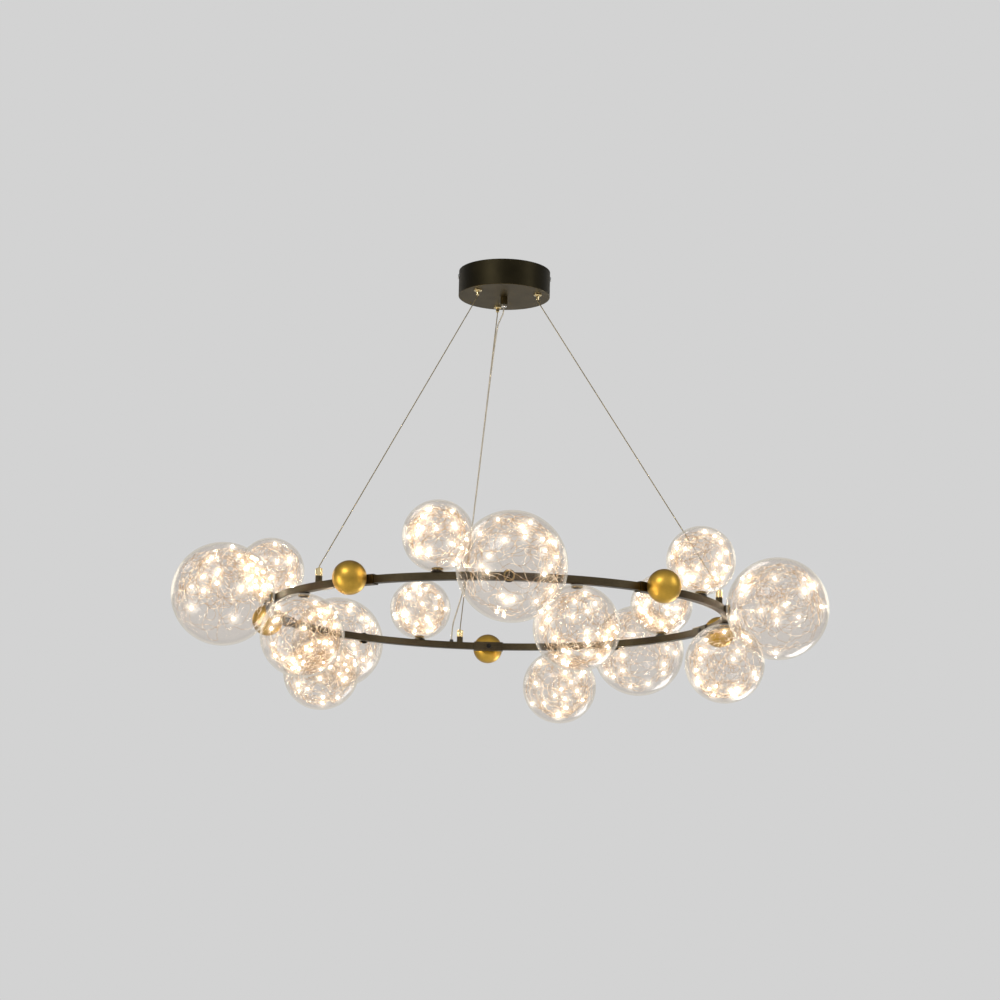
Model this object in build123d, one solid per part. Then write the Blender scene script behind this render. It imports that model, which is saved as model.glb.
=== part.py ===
from build123d import *
import math
import os

# Orb chandelier: a dark ceiling canopy, three cables, and a ring of square tube that carries
# fifteen glass globes of LED wire and five gold balls.
# Millimetres. Z is up, and the origin is the middle of the ceiling bracket, on the ceiling.
# Azimuth 0 is the front (-Y) and grows towards the right (+X).

# ---------------------------------------------------------------- driving dimensions

# Ring of square tube
RING_OUTER_R = 349.0
RING_DROP = 540.0          # ceiling to the tube's middle line
BAR = 11.0
BAR_WALL = 1.2
BAR_CORNER_R = 0.8
SECTORS = 5

# Places on the ring, from the azimuth of each sector's big globe
SMALL_AZIMUTH = -16.5
MEDIUM_AZIMUTH = 16.0
BALL_AZIMUTH = 36.0

# Glass globes
SMALL_GLOBE_R = 50.0
MEDIUM_GLOBE_R = 60.0
BIG_GLOBE_R = 75.0
GLOBE_WALL = 1.6
GLOBE_FLAT = 0.7           # depth of the flat ground round each neck hole
NECK_R = 6.0

# Globe caps, gaskets and lock nuts
CAP_R = 9.0
CAP_T = 1.2
CAP_BORE_R = 1.2
CAP_STUD_R = 2.0
CAP_STUD_REACH = 1.3       # past the tube's wall
SPIGOT_R = 5.7
SPIGOT_PROUD = 0.7
GASKET_T = 0.5
GASKET_R = 8.2
LOCK_NUT_R = 8.0
LOCK_NUT_T = 2.5
LOCK_NUT_NOTCH_R = 0.83
LOCK_NUT_NOTCHES = 6
GLASS_CLEARANCE = 0.02

# The ball that each string of LED wire fills
LED_LEAD_R = 0.4
LED_MARGIN = 3.4           # to the glass
LED_BALL_WALL = 0.5
LED_SEAT_GAP = 1.0         # over the lock nut and spigot

# Gold balls and the sleeves behind them
BALL_R = 24.0
BALL_WALL = 2.5
BALL_FLAT = 3.5            # depth of the flat that meets the sleeve
BALL_THREAD_DEPTH = 12.0
BALL_BOSS_WALL = 3.0
SLEEVE = 14.0
SLEEVE_LENGTH = 48.0
SLEEVE_FIT = 0.05
SLEEVE_CORNER_R = 1.0
TUBE_END_GAP = 4.5         # each tube end to the sleeve's middle
BALL_SCREW_R = 2.0
BALL_SCREW_HEAD_R = 3.8
BALL_SCREW_HEAD_T = 1.6
SCREW_CLEARANCE = 0.15     # also under a screw's end and over a spring
GRUB_R = 1.5
GRUB_OFFSET = 14.0         # from the sleeve's middle, along the tube
HEX_KEY = 1.5

# Feed wires in the tube
FEED_WIRE_R = 0.4
FEED_WIRE_GAP = 0.1

# Cables and their fittings on the ring
CABLE_AZIMUTHS = {"left": -50.0, "right": 68.0, "rear": 188.0}
CABLE_R = 0.8
CABLE_BEND_R = 5.0
CABLE_FIT = 0.1
CABLE_TAIL = 2.4           # above the gripper's barrel
FITTING_R = 5.0
FITTING_BASE_H = 9.0
FITTING_NECK_R = 3.5
FITTING_NECK_H = 5.0
FITTING_CAP_H = 11.0
FITTING_TOP_T = 2.0
FITTING_TIP_R = 2.2
FITTING_TIP_TOP_R = 1.6
FITTING_TIP_H = 1.5
FITTING_CHAMFER = 0.6
FITTING_STUD_R = 2.0
FERRULE_R = 2.4
FERRULE_H = 3.6

# Canopy
CANOPY_R = 71.0
CANOPY_H = 40.0
CANOPY_WALL = 1.2
CANOPY_PLATE = 1.5
CANOPY_EDGE_R = 0.8

# Ceiling bracket
BRACKET_WIDTH = 20.0
BRACKET_T = 1.5
BRACKET_EAR_H = 14.0
BRACKET_GAP = 0.6          # ear corners to the canopy's wall
BRACKET_HOLE_R = 5.25
SLOT_SPACING = 80.0
SLOT_LENGTH = 20.0
SLOT_R = 2.25
EARTH_SCREW_X = 17.0
SCREW_R = 2.0
SCREW_HEAD_R = 3.6
SCREW_HEAD_T = 1.5
SCREW_LENGTH = 8.0
SCREW_SLOT = 0.9
SIDE_SCREW_DROP = 9.0      # below the ceiling

# Cable grippers
GRIPPER_INSET = 16.0       # canopy's outside to each gripper's axis
BARREL_R = 4.5
BARREL_H = 16.0            # above the plate's underside
BARREL_BORE_R = 3.4
BARREL_TOP_T = 3.0
FLANGE_R = 6.3
FLANGE_T = 2.4
FLANGE_CHAMFER = 0.6
THROAT_R = 2.7
THROAT_T = 1.8
GRIPPER_NUT_FLATS = 13.0
GRIPPER_NUT_T = 4.0
NIPPLE_FIT = 0.08
NIPPLE_PROUD = 6.5         # below the flange
NIPPLE_COLLAR_T = 2.0
NIPPLE_END_R = 0.9
NIPPLE_CABLE_CLEARANCE = 0.4
RUN_CLEARANCE = 0.3
COLLAR_CLEARANCE = 0.1
SPRING_WIRE_R = 0.25
SPRING_TURNS = 5

# Gland and power cord
GLAND_R = 5.6
GLAND_H = 12.5
GLAND_THREAD_R = 4.5
GLAND_CAP_R = 4.6
GLAND_CAP_H = 4.0
GLAND_CAP_CHAMFER = 1.0
GLAND_NUT_FLATS = 14.0
GLAND_NUT_T = 4.0
GLAND_ABOVE = 7.0          # thread above the plate's underside
CORD_R = 1.2
CORD_GAP = 0.6             # cord to the rear cable
CORD_SIDE = 14.0           # grommet to the rear fitting, along the tube
GROMMET_R = 3.0
GROMMET_H = 4.0
GROMMET_EDGE_R = 1.0
GROMMET_NECK_R = 2.0
CORD_INTO_TUBE = 2.2
ARC_SHARE = 0.45           # of the shorter run beside a corner, taken up by its arc

# Driver, terminal block and leads
DRIVER_DEPTH = 26.0
DRIVER_H = 20.0
DRIVER_OUT = 8.0           # its middle beyond the line between its two grippers
DRIVER_GAP = 3.5
DRIVER_CORNER_R = 2.0
DRIVER_CHAMFER = 0.8
TERMINAL_LENGTH = 30.0
TERMINAL_DEPTH = 17.0
TERMINAL_H = 14.0
TERMINAL_INSET = 31.0
TERMINAL_WAYS = 3
TERMINAL_CHAMFER = 2.5
TERMINAL_GROOVE = 1.2
TERMINAL_SCREW_R = 2.2
TERMINAL_SCREW_DEPTH = 3.0
LEAD_R = 0.9
LEAD_HEIGHTS = (8.0, 11.0)  # above the plate's inside
LEAD_OFFSET = 12.0
OUTPUT_LEAD_RISE = 16.0    # above the plate's inside
OUTPUT_LEAD_REACH = 15.0

# ---------------------------------------------------------------- derived places

RING_R = RING_OUTER_R - BAR / 2
RING_Z = -RING_DROP
BAR_TOP = RING_Z + BAR / 2
BAR_BOTTOM = RING_Z - BAR / 2
SECTOR = 360.0 / SECTORS
BORE_HALF = BAR / 2 - BAR_WALL
PLATE_BOTTOM = -CANOPY_H
PLATE_TOP = PLATE_BOTTOM + CANOPY_PLATE
GRIPPER_R = CANOPY_R - GRIPPER_INSET
FLANGE_BOTTOM = PLATE_BOTTOM - FLANGE_T
NIPPLE_TIP = FLANGE_BOTTOM - NIPPLE_PROUD
NIPPLE_R = THROAT_R - NIPPLE_FIT
NIPPLE_BORE_R = CABLE_R + NIPPLE_CABLE_CLEARANCE
COLLAR_R = BARREL_BORE_R - COLLAR_CLEARANCE
COLLAR_BOTTOM = FLANGE_BOTTOM + THROAT_T + RUN_CLEARANCE
COLLAR_TOP = COLLAR_BOTTOM + NIPPLE_COLLAR_T
BARREL_TOP = PLATE_BOTTOM + BARREL_H
FITTING_MOUTH = BAR_TOP + FITTING_BASE_H + FITTING_CAP_H + FITTING_TIP_H
GLAND_BOTTOM = PLATE_BOTTOM - GLAND_H
GLAND_CAP_BOTTOM = GLAND_BOTTOM - GLAND_CAP_H
BALL_CENTRE_R = RING_R + SLEEVE / 2 + BALL_R - BALL_FLAT
LOW = (Align.CENTER, Align.CENTER, Align.MIN)
HIGH = (Align.CENTER, Align.CENTER, Align.MAX)


def at(azimuth, radius, z):
    """A point on the lamp from its azimuth, radius and height."""
    turn = math.radians(azimuth)
    return Vector(radius * math.sin(turn), -radius * math.cos(turn), z)


def around(azimuth, piece):
    """A piece built at azimuth 0, turned to its azimuth."""
    return Rot(0, 0, azimuth) * piece


def rod(radius, low, high, x=0.0, y=0.0):
    """An upright cylinder between two heights."""
    return Pos(x, y, low) * Cylinder(radius, high - low, align=LOW)


def hexagon(flats, low, high, x=0.0, y=0.0):
    """An upright hexagonal prism between two heights."""
    profile = RegularPolygon(flats / 2, 6, major_radius=False)
    return Pos(x, y, low) * extrude(profile, high - low)


def radial_rod(radius, inner, outer, z):
    """A cylinder along the radius at azimuth 0, between two distances from the lamp's axis."""
    return Pos(0, -inner, z) * Rot(90, 0, 0) * Cylinder(radius, outer - inner, align=LOW)


def ring_sweep(profile, first, last):
    """A profile about the tube's middle line, carried round the ring between two azimuths."""
    placed = Plane.XZ * Pos(RING_R, RING_Z) * profile
    return Rot(0, 0, first - 90) * revolve(placed, Axis.Z, revolution_arc=last - first)


def tube(points, radius, radii):
    """A round tube along straight runs joined by tangent arcs."""
    path = FilletPolyline(*points, radius=radii)
    section = Plane(origin=path @ 0, z_dir=path % 0) * Circle(radius)
    return sweep(section, path=path)


def largest_radii(points):
    """Each corner's arc, as large as its two runs allow."""
    radii = []
    for before, corner, after in zip(points, points[1:], points[2:]):
        turn = math.radians((corner - before).get_angle(after - corner))
        shorter = min((corner - before).length, (after - corner).length)
        radii.append(ARC_SHARE * shorter / math.tan(turn / 2))
    return radii


def write(name, *pieces):
    """One STEP file per named sub-part."""
    solids = [solid for piece in pieces for solid in piece.solids()]
    shape = solids[0] if len(solids) == 1 else Compound(children=solids)
    export_step(shape, f"parts/{name}.step")


# ---------------------------------------------------------------- ring tube, sleeves and balls

def wall_hole(radius, azimuth, side):
    """A hole through one wall of the tube: top, bottom or outer."""
    if side == "outer":
        hole = radial_rod(radius, RING_R + BAR / 4, RING_OUTER_R + BAR, RING_Z)
    elif side == "top":
        hole = rod(radius, RING_Z + BAR / 4, BAR_TOP + BAR, y=-RING_R)
    else:
        hole = rod(radius, BAR_BOTTOM - BAR, RING_Z - BAR / 4, y=-RING_R)
    return around(azimuth, hole)


def cord_azimuth():
    """Where the power cord enters the tube, beside the rear fitting."""
    return CABLE_AZIMUTHS["rear"] + math.degrees(math.asin(CORD_SIDE / RING_R))


def ring_segment(sector):
    big = sector * SECTOR
    gap = math.degrees(TUBE_END_GAP / RING_R)
    first = big + BALL_AZIMUTH - SECTOR + gap
    last = big + BALL_AZIMUTH - gap
    profile = RectangleRounded(BAR, BAR, BAR_CORNER_R) - Rectangle(2 * BORE_HALF, 2 * BORE_HALF)
    bar = ring_sweep(profile, first, last)
    bar -= wall_hole(CAP_STUD_R, big, "outer")
    bar -= wall_hole(CAP_STUD_R, big + SMALL_AZIMUTH, "top")
    bar -= wall_hole(CAP_STUD_R, big + MEDIUM_AZIMUTH, "bottom")
    for azimuth in CABLE_AZIMUTHS.values():
        if (azimuth - first) % 360 < last - first:
            bar -= wall_hole(FITTING_STUD_R, azimuth, "top")
    if (cord_azimuth() - first) % 360 < last - first:
        bar -= wall_hole(GROMMET_NECK_R, cord_azimuth(), "top")
    return bar


def joint_sleeve():
    half = math.degrees(SLEEVE_LENGTH / 2 / RING_R)
    inside = BAR + 2 * SLEEVE_FIT
    profile = RectangleRounded(SLEEVE, SLEEVE, SLEEVE_CORNER_R) - Rectangle(inside, inside)
    sleeve = ring_sweep(profile, -half, half)
    sleeve -= radial_rod(BALL_SCREW_R + SCREW_CLEARANCE, RING_R - SLEEVE, RING_R + SLEEVE, RING_Z)
    for grub_azimuth in grub_azimuths():
        sleeve -= around(grub_azimuth, rod(GRUB_R, RING_Z - SLEEVE, RING_Z, y=-RING_R))
    return sleeve


def grub_azimuths():
    turn = math.degrees(GRUB_OFFSET / RING_R)
    return (-turn, turn)


def grub_screw():
    bottom = RING_Z - SLEEVE / 2
    grub = rod(GRUB_R, bottom, BAR_BOTTOM, y=-RING_R)
    return grub - hexagon(HEX_KEY, bottom, bottom + (BAR_BOTTOM - bottom) / 2, y=-RING_R)


def gold_ball():
    """A hollow ball with a flat and a threaded boss, at azimuth 0 outside the sleeve."""
    flat = BALL_R - BALL_FLAT
    keep = Pos(0, 0, -flat) * Box(2 * BALL_R, 2 * BALL_R, 2 * BALL_R, align=LOW)
    inner = Pos(0, 0, -flat + BALL_WALL) * Box(2 * BALL_R, 2 * BALL_R, 2 * BALL_R, align=LOW)
    boss_top = -flat + BALL_THREAD_DEPTH + BALL_WALL
    boss = rod(BALL_SCREW_R + BALL_BOSS_WALL, -flat, boss_top)
    void = (Sphere(BALL_R - BALL_WALL) & inner) - boss
    ball = (Sphere(BALL_R) & keep) - void - rod(BALL_SCREW_R, -flat, -flat + BALL_THREAD_DEPTH)
    return Pos(0, -BALL_CENTRE_R, RING_Z) * Rot(90, 0, 0) * ball


def ball_screw():
    inner_face = RING_R - SLEEVE / 2
    seat = math.sqrt(inner_face ** 2 - BALL_SCREW_HEAD_R ** 2)
    end = RING_R + SLEEVE / 2 + BALL_THREAD_DEPTH - SCREW_CLEARANCE
    screw = radial_rod(BALL_SCREW_R, seat, end, RING_Z)
    head = radial_rod(BALL_SCREW_HEAD_R, seat - BALL_SCREW_HEAD_T, seat, RING_Z)
    key = Pos(0, -(seat - BALL_SCREW_HEAD_T), RING_Z) * Rot(90, 0, 0)
    return screw + head - key * hexagon(2 * HEX_KEY, 0, BALL_SCREW_HEAD_T / 2)


def feed_wires():
    """Two wires round the inside of the tube, past the ball screws and the studs."""
    x = -(BORE_HALF - FEED_WIRE_GAP - FEED_WIRE_R)
    z = BALL_SCREW_R + FEED_WIRE_GAP + FEED_WIRE_R
    half_gap = math.degrees(GROMMET_R / RING_R)
    start = cord_azimuth() + half_gap
    end = start + 360 - 2 * half_gap
    return [ring_sweep(Pos(x, side * z) * Circle(FEED_WIRE_R), start, end) for side in (-1, 1)]


# ---------------------------------------------------------------- globes (local Z into the glass)

def globe_middle(radius):
    """Height of a globe's middle over the tube's face."""
    return CAP_T + GASKET_T + radius - GLOBE_FLAT


def globe(radius):
    middle = globe_middle(radius)
    flat = CAP_T + GASKET_T
    shell = Pos(0, 0, middle) * (Sphere(radius) - Sphere(radius - GLOBE_WALL))
    shell -= Pos(0, 0, flat) * Box(4 * CAP_R, 4 * CAP_R, 4 * GLOBE_FLAT, align=HIGH)
    return shell - rod(NECK_R, flat - GLOBE_WALL, flat + 3 * GLOBE_WALL)


def nut_seat(radius):
    """Where the lock nut's edge meets the inside of the glass."""
    inside = radius - GLOBE_WALL
    return globe_middle(radius) - math.sqrt(inside ** 2 - LOCK_NUT_R ** 2) + GLASS_CLEARANCE


def spigot_top(radius):
    return nut_seat(radius) + LOCK_NUT_T + SPIGOT_PROUD


def orb_cap(radius):
    top = spigot_top(radius)
    cap = rod(CAP_R, 0, CAP_T) + rod(SPIGOT_R, 0, top)
    cap += rod(CAP_STUD_R, -(BAR_WALL + CAP_STUD_REACH), 0)
    return cap - rod(CAP_BORE_R, -2 * BAR, 2 * top)


def orb_gasket(radius):
    return rod(GASKET_R, CAP_T, CAP_T + GASKET_T) - rod(SPIGOT_R, 0, CAP_T + 2 * GASKET_T)


def orb_lock_nut(radius):
    seat = nut_seat(radius)
    nut = rod(LOCK_NUT_R, seat, seat + LOCK_NUT_T)
    for notch in range(LOCK_NUT_NOTCHES):
        turn = Rot(0, 0, notch * 360 / LOCK_NUT_NOTCHES)
        nut -= turn * rod(LOCK_NUT_NOTCH_R, seat, seat + LOCK_NUT_T, x=LOCK_NUT_R)
    return nut - rod(SPIGOT_R, seat - LOCK_NUT_T, seat + 2 * LOCK_NUT_T)


def led_string(radius):
    """The space that a wound string fills, as a thin hollow ball, on the lead through the cap."""
    outer = radius - GLOBE_WALL - LED_MARGIN
    seat = spigot_top(radius) + LED_SEAT_GAP

    def ball(size, floor):
        above = Pos(0, 0, floor) * Box(4 * radius, 4 * radius, 4 * radius, align=LOW)
        return (Pos(0, 0, globe_middle(radius)) * Sphere(size)) & above

    skin = ball(outer, seat) - ball(outer - LED_BALL_WALL, seat + LED_BALL_WALL)
    return skin + rod(LED_LEAD_R, 0, seat + LED_BALL_WALL / 2)


def orb_places(kind):
    """The five seats of a size of globe on the tube: each azimuth with its local frame."""
    if kind == "small":
        seat, offset = Pos(0, -RING_R, BAR_TOP), SMALL_AZIMUTH
    elif kind == "medium":
        seat, offset = Pos(0, -RING_R, BAR_BOTTOM) * Rot(180, 0, 0), MEDIUM_AZIMUTH
    else:
        seat, offset = Pos(0, -RING_OUTER_R, RING_Z) * Rot(90, 0, 0), 0.0
    return [Rot(0, 0, sector * SECTOR + offset) * seat for sector in range(SECTORS)]


# ---------------------------------------------------------------- cable fittings on the ring

def fitting_base():
    top = BAR_TOP + FITTING_BASE_H
    base = rod(FITTING_R, BAR_TOP, top) + rod(FITTING_NECK_R, top, top + FITTING_NECK_H)
    base += rod(FITTING_STUD_R, BAR_TOP - BAR_WALL - CAP_STUD_REACH, BAR_TOP)
    return Pos(0, -RING_R, 0) * base


def fitting_cap():
    low = BAR_TOP + FITTING_BASE_H
    top = low + FITTING_CAP_H
    tip = Pos(0, 0, top) * Cone(FITTING_TIP_R, FITTING_TIP_TOP_R, FITTING_TIP_H, align=LOW)
    cap = rod(FITTING_R, low, top)
    cap = chamfer(cap.edges().filter_by(GeomType.CIRCLE).sort_by(Axis.Z)[-1], FITTING_CHAMFER) + tip
    cap -= rod(FITTING_NECK_R, low, low + FITTING_NECK_H)
    cap -= rod(FERRULE_R + CABLE_FIT, low, top - FITTING_TOP_T)
    return Pos(0, -RING_R, 0) * (cap - rod(CABLE_R + CABLE_FIT, low, FITTING_MOUTH))


def ferrule_top():
    return BAR_TOP + FITTING_BASE_H + FITTING_CAP_H - FITTING_TOP_T


def cable_ferrule():
    top = ferrule_top()
    ferrule = rod(FERRULE_R, top - FERRULE_H, top)
    return Pos(0, -RING_R, 0) * (ferrule - rod(CABLE_R + CABLE_FIT / 2, top - FERRULE_H, top))


def grommet():
    collar = rod(GROMMET_R, BAR_TOP, BAR_TOP + GROMMET_H)
    collar = fillet(collar.edges().filter_by(GeomType.CIRCLE).sort_by(Axis.Z)[-1], GROMMET_EDGE_R)
    neck = rod(GROMMET_NECK_R, BAR_TOP - BAR_WALL, BAR_TOP)
    return Pos(0, -RING_R, 0) * (collar + neck - rod(CORD_R, BAR_BOTTOM, 0))


# ---------------------------------------------------------------- canopy and what it holds

def canopy_shell():
    cup = Pos(0, 0, PLATE_BOTTOM) * Cylinder(CANOPY_R, CANOPY_H, align=LOW)
    rim = cup.edges().filter_by(GeomType.CIRCLE).sort_by(Axis.Z)[0]
    cup = fillet(rim, CANOPY_EDGE_R)
    cup -= rod(CANOPY_R - CANOPY_WALL, PLATE_TOP, CANOPY_H)
    cup -= rod(GLAND_THREAD_R, -2 * CANOPY_H, 0)
    for azimuth in CABLE_AZIMUTHS.values():
        cup -= around(azimuth, rod(BARREL_R, -2 * CANOPY_H, 0, y=-GRIPPER_R))
    for side in (-90, 90):
        hole = radial_rod(SCREW_R + SCREW_CLEARANCE, CANOPY_R / 2, 2 * CANOPY_R, -SIDE_SCREW_DROP)
        cup -= around(side, hole)
    return cup


def ear_face():
    """How far each ear's outer face stands from the middle, so its corners clear the wall."""
    return math.sqrt((CANOPY_R - CANOPY_WALL - BRACKET_GAP) ** 2 - (BRACKET_WIDTH / 2) ** 2)


def ceiling_bracket():
    face = ear_face()
    strip = Box(2 * face, BRACKET_WIDTH, BRACKET_T, align=HIGH)
    for side in (-1, 1):
        ear = Box(BRACKET_T, BRACKET_WIDTH, BRACKET_EAR_H, align=HIGH)
        strip += Pos(side * (face - BRACKET_T / 2), 0, 0) * ear
    strip -= rod(BRACKET_HOLE_R, -BRACKET_T, 0)
    slot = extrude(SlotOverall(SLOT_LENGTH, 2 * SLOT_R), -BRACKET_T)
    for side in (-1, 1):
        strip -= Pos(side * SLOT_SPACING / 2, 0, 0) * slot
        strip -= around(90 * side, radial_rod(SCREW_R, face / 2, 2 * face, -SIDE_SCREW_DROP))
    return strip - rod(SCREW_R, -BRACKET_T, 0, x=EARTH_SCREW_X)


def pan_screw(length):
    """A slotted pan head screw, its head above the origin and its thread down local Z."""
    head = Cylinder(SCREW_HEAD_R, SCREW_HEAD_T, align=LOW)
    head = fillet(head.edges().filter_by(GeomType.CIRCLE).sort_by(Axis.Z)[-1], SCREW_HEAD_T / 2)
    slot = Pos(0, 0, SCREW_HEAD_T / 2) * Box(2 * SCREW_HEAD_R, SCREW_SLOT, SCREW_HEAD_T, align=LOW)
    return head + Cylinder(SCREW_R, length, align=HIGH) - slot


def machine_screws():
    screws = []
    for side in (-90, 90):
        seat = Pos(0, -CANOPY_R, -SIDE_SCREW_DROP) * Rot(90, 0, 0)
        screws.append(around(side, seat * pan_screw(SCREW_LENGTH)))
    earth = Pos(EARTH_SCREW_X, 0, -BRACKET_T) * Rot(180, 0, 0)
    screws.append(earth * pan_screw(BRACKET_T))
    return screws


def gripper_body():
    body = rod(FLANGE_R, FLANGE_BOTTOM, PLATE_BOTTOM)
    body = chamfer(body.edges().filter_by(GeomType.CIRCLE).sort_by(Axis.Z)[0], FLANGE_CHAMFER)
    body += rod(BARREL_R, PLATE_BOTTOM, BARREL_TOP)
    body -= rod(THROAT_R, FLANGE_BOTTOM, PLATE_BOTTOM)
    body -= rod(BARREL_BORE_R, FLANGE_BOTTOM + THROAT_T, BARREL_TOP - BARREL_TOP_T)
    body -= rod(CABLE_R + CABLE_FIT, PLATE_BOTTOM, BARREL_TOP)
    return Pos(0, -GRIPPER_R, 0) * body


def gripper_nut():
    nut = hexagon(GRIPPER_NUT_FLATS, PLATE_TOP, PLATE_TOP + GRIPPER_NUT_T)
    return Pos(0, -GRIPPER_R, 0) * (nut - rod(BARREL_R, PLATE_BOTTOM, BARREL_TOP))


def release_nipple():
    nipple = rod(NIPPLE_R, NIPPLE_TIP, COLLAR_BOTTOM)
    nipple = fillet(nipple.edges().filter_by(GeomType.CIRCLE).sort_by(Axis.Z)[0], NIPPLE_END_R)
    nipple += rod(COLLAR_R, COLLAR_BOTTOM, COLLAR_TOP)
    return Pos(0, -GRIPPER_R, 0) * (nipple - rod(NIPPLE_BORE_R, NIPPLE_TIP - 1, COLLAR_TOP + 1))


def gripper_spring():
    """A coil of half turns between the nipple's collar and the top of the barrel's bore."""
    low = COLLAR_TOP + SPRING_WIRE_R + RUN_CLEARANCE
    high = BARREL_TOP - BARREL_TOP_T - SPRING_WIRE_R - SCREW_CLEARANCE
    radius = BARREL_BORE_R - SPRING_WIRE_R - RUN_CLEARANCE
    rise = (high - low) / (2 * SPRING_TURNS)
    edges = []
    for half in range(2 * SPRING_TURNS):
        side = 1 if half % 2 == 0 else -1
        z = low + half * rise
        edges.append(Edge.make_three_point_arc(
            Vector(side * radius, 0, z),
            Vector(0, side * radius, z + rise / 2),
            Vector(-side * radius, 0, z + rise),
        ))
    section = Plane(origin=edges[0] @ 0, z_dir=edges[0] % 0) * Circle(SPRING_WIRE_R)
    print(f"Spring: least gap between turns {2 * rise - 2 * SPRING_WIRE_R:.2f}")
    return Pos(0, -GRIPPER_R, 0) * sweep(section, path=Wire(edges))


def cable_bend_drop():
    """Height that half of a cable's bend takes up beyond a fitting's mouth."""
    spread = RING_R - GRIPPER_R
    fall = NIPPLE_TIP - FITTING_MOUTH
    return CABLE_BEND_R * math.tan(math.atan2(spread, fall) / 2) + RUN_CLEARANCE


def suspension_cable():
    top = Vector(0, -GRIPPER_R, BARREL_TOP + CABLE_TAIL)
    upper = Vector(0, -GRIPPER_R, NIPPLE_TIP - cable_bend_drop())
    lower = Vector(0, -RING_R, FITTING_MOUTH + cable_bend_drop())
    end = Vector(0, -RING_R, ferrule_top() - FERRULE_H)
    return tube((top, upper, lower, end), CABLE_R, [CABLE_BEND_R, CABLE_BEND_R])


def gland_body():
    body = rod(GLAND_R, GLAND_BOTTOM, PLATE_BOTTOM)
    body += rod(GLAND_THREAD_R, PLATE_BOTTOM, PLATE_BOTTOM + GLAND_ABOVE)
    return body - rod(CORD_R, 2 * GLAND_BOTTOM, 0)


def gland_cap():
    cap = rod(GLAND_CAP_R, GLAND_CAP_BOTTOM, GLAND_BOTTOM)
    cap = chamfer(cap.edges().filter_by(GeomType.CIRCLE).sort_by(Axis.Z)[0], GLAND_CAP_CHAMFER)
    return cap - rod(CORD_R, 2 * GLAND_CAP_BOTTOM, 0)


def gland_nut():
    nut = hexagon(GLAND_NUT_FLATS, PLATE_TOP, PLATE_TOP + GLAND_NUT_T)
    return nut - rod(GLAND_THREAD_R, PLATE_BOTTOM, 0)


def power_cord():
    """Out of the gland, back to the rear cable, down along it and into the tube beside it.

    The route is worked out in the rear cable's plane: distance from the axis, sideways, height."""
    spread = RING_R - GRIPPER_R
    fall = (NIPPLE_TIP - FITTING_MOUTH) - 2 * cable_bend_drop()
    away = CORD_R + CABLE_R + CORD_GAP
    slant = math.hypot(spread, fall)
    in_shift, down_shift = away * fall / slant, away * spread / slant
    top_z = NIPPLE_TIP - cable_bend_drop()

    def beside(drop):
        """A point beside the rear cable, a height below the cable's upper corner."""
        return (GRIPPER_R + spread * drop / fall - in_shift, 0.0, top_z - down_shift - drop)

    reach = math.sqrt(RING_R ** 2 - CORD_SIDE ** 2)
    route = [
        (0.0, 0.0, GLAND_BOTTOM + GLAND_H / 2),
        (0.0, 0.0, GLAND_CAP_BOTTOM - 9.0),
        (26.0, 0.0, GLAND_CAP_BOTTOM - 10.5),
        beside(22.0),
        beside(fall - 70.0),
        (RING_R - 20.0, CORD_SIDE * 0.72, BAR_TOP + 46.0),
        (reach, CORD_SIDE, BAR_TOP + 24.0),
        (reach, CORD_SIDE, BAR_TOP - CORD_INTO_TUBE),
    ]
    turn = math.radians(CABLE_AZIMUTHS["rear"])
    out = Vector(math.sin(turn), -math.cos(turn), 0)
    side = Vector(math.cos(turn), math.sin(turn), 0)
    points = [out * d + side * s + Vector(0, 0, z) for d, s, z in route]
    radii = largest_radii(points)
    runs = [(b - a).length for a, b in zip(points, points[1:])]
    print("Cord: points", [tuple(round(c, 1) for c in p) for p in points])
    print("Cord: radii", [round(r, 1) for r in radii], "runs", [round(r, 1) for r in runs])
    return tube(points, CORD_R, radii)


def driver_frame():
    """The driver's middle on the plate, between the right and rear grippers."""
    azimuth = (CABLE_AZIMUTHS["right"] + CABLE_AZIMUTHS["rear"]) / 2
    half_span = math.radians((CABLE_AZIMUTHS["rear"] - CABLE_AZIMUTHS["right"]) / 2)
    middle = GRIPPER_R * math.cos(half_span) + DRIVER_OUT
    nut_corner = GRIPPER_NUT_FLATS / math.sqrt(3)
    length = 2 * (GRIPPER_R * math.sin(half_span) - nut_corner - DRIVER_GAP)
    return azimuth, middle, length


def led_driver():
    azimuth, middle, length = driver_frame()
    case = Box(length, DRIVER_DEPTH, DRIVER_H, align=LOW)
    case = fillet(case.edges().filter_by(Axis.Z), DRIVER_CORNER_R)
    case = chamfer(case.faces().sort_by(Axis.Z)[-1].edges(), DRIVER_CHAMFER)
    return around(azimuth, Pos(0, -middle, PLATE_TOP) * case)


def terminal_azimuth():
    return (CABLE_AZIMUTHS["rear"] + CABLE_AZIMUTHS["left"] + 360) / 2


def terminal_block():
    block = Box(TERMINAL_LENGTH, TERMINAL_DEPTH, TERMINAL_H, align=LOW)
    block = chamfer(block.faces().sort_by(Axis.Z)[-1].edges().filter_by(Axis.X), TERMINAL_CHAMFER)
    pitch = TERMINAL_LENGTH / TERMINAL_WAYS
    for way in range(TERMINAL_WAYS):
        x = (way - (TERMINAL_WAYS - 1) / 2) * pitch
        well = rod(TERMINAL_SCREW_R, TERMINAL_H - TERMINAL_SCREW_DEPTH, 2 * TERMINAL_H, x=x)
        block -= well
        if way:
            groove = Box(TERMINAL_GROOVE, TERMINAL_DEPTH, TERMINAL_H)
            block -= Pos(x - pitch / 2, 0, TERMINAL_H) * groove
    return around(terminal_azimuth(), Pos(0, -(CANOPY_R - TERMINAL_INSET), PLATE_TOP) * block)


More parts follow.
